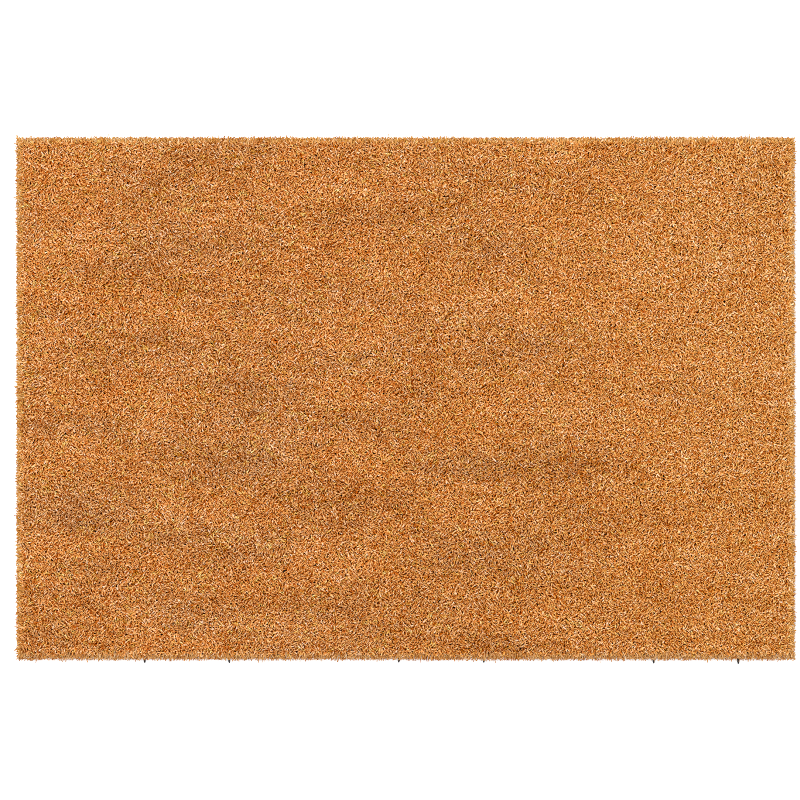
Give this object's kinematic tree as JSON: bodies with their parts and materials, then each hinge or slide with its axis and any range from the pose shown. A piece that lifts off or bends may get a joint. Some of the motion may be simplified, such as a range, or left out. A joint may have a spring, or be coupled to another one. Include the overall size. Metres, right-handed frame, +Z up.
{
  "type": "door mat",
  "caption": "Rectangular door mat: dense rows of cut coir tufts standing in a flat, flexible PVC backing.",
  "frame": {"origin": "middle of the backing's underside", "axes": "+X along the long side and the tuft rows, +Y along the short side towards the back edge, +Z up through the pile"},
  "size_m": [0.606, 0.4056, 0.015],
  "materials": {
    "coir_pile": "matte",
    "pvc_backing": "matte"
  },
  "bodies": {
    "root": {"pvc_backing": "pvc_backing", "tuft_row_01": "coir_pile", "tuft_row_02": "coir_pile", "tuft_row_03": "coir_pile", "tuft_row_04": "coir_pile", "tuft_row_05": "coir_pile", "tuft_row_06": "coir_pile", "tuft_row_07": "coir_pile", "tuft_row_08": "coir_pile", "tuft_row_09": "coir_pile", "tuft_row_10": "coir_pile", "tuft_row_11": "coir_pile", "tuft_row_12": "coir_pile", "tuft_row_13": "coir_pile", "tuft_row_14": "coir_pile", "tuft_row_15": "coir_pile", "tuft_row_16": "coir_pile", "tuft_row_17": "coir_pile", "tuft_row_18": "coir_pile", "tuft_row_19": "coir_pile", "tuft_row_20": "coir_pile", "tuft_row_21": "coir_pile", "tuft_row_22": "coir_pile", "tuft_row_23": "coir_pile", "tuft_row_24": "coir_pile", "tuft_row_25": "coir_pile", "tuft_row_26": "coir_pile", "tuft_row_27": "coir_pile", "tuft_row_28": "coir_pile", "tuft_row_29": "coir_pile", "tuft_row_30": "coir_pile", "tuft_row_31": "coir_pile", "tuft_row_32": "coir_pile", "tuft_row_33": "coir_pile", "tuft_row_34": "coir_pile", "tuft_row_35": "coir_pile", "tuft_row_36": "coir_pile", "tuft_row_37": "coir_pile", "tuft_row_38": "coir_pile", "tuft_row_39": "coir_pile", "tuft_row_40": "coir_pile"}
  },
  "joints": []
}
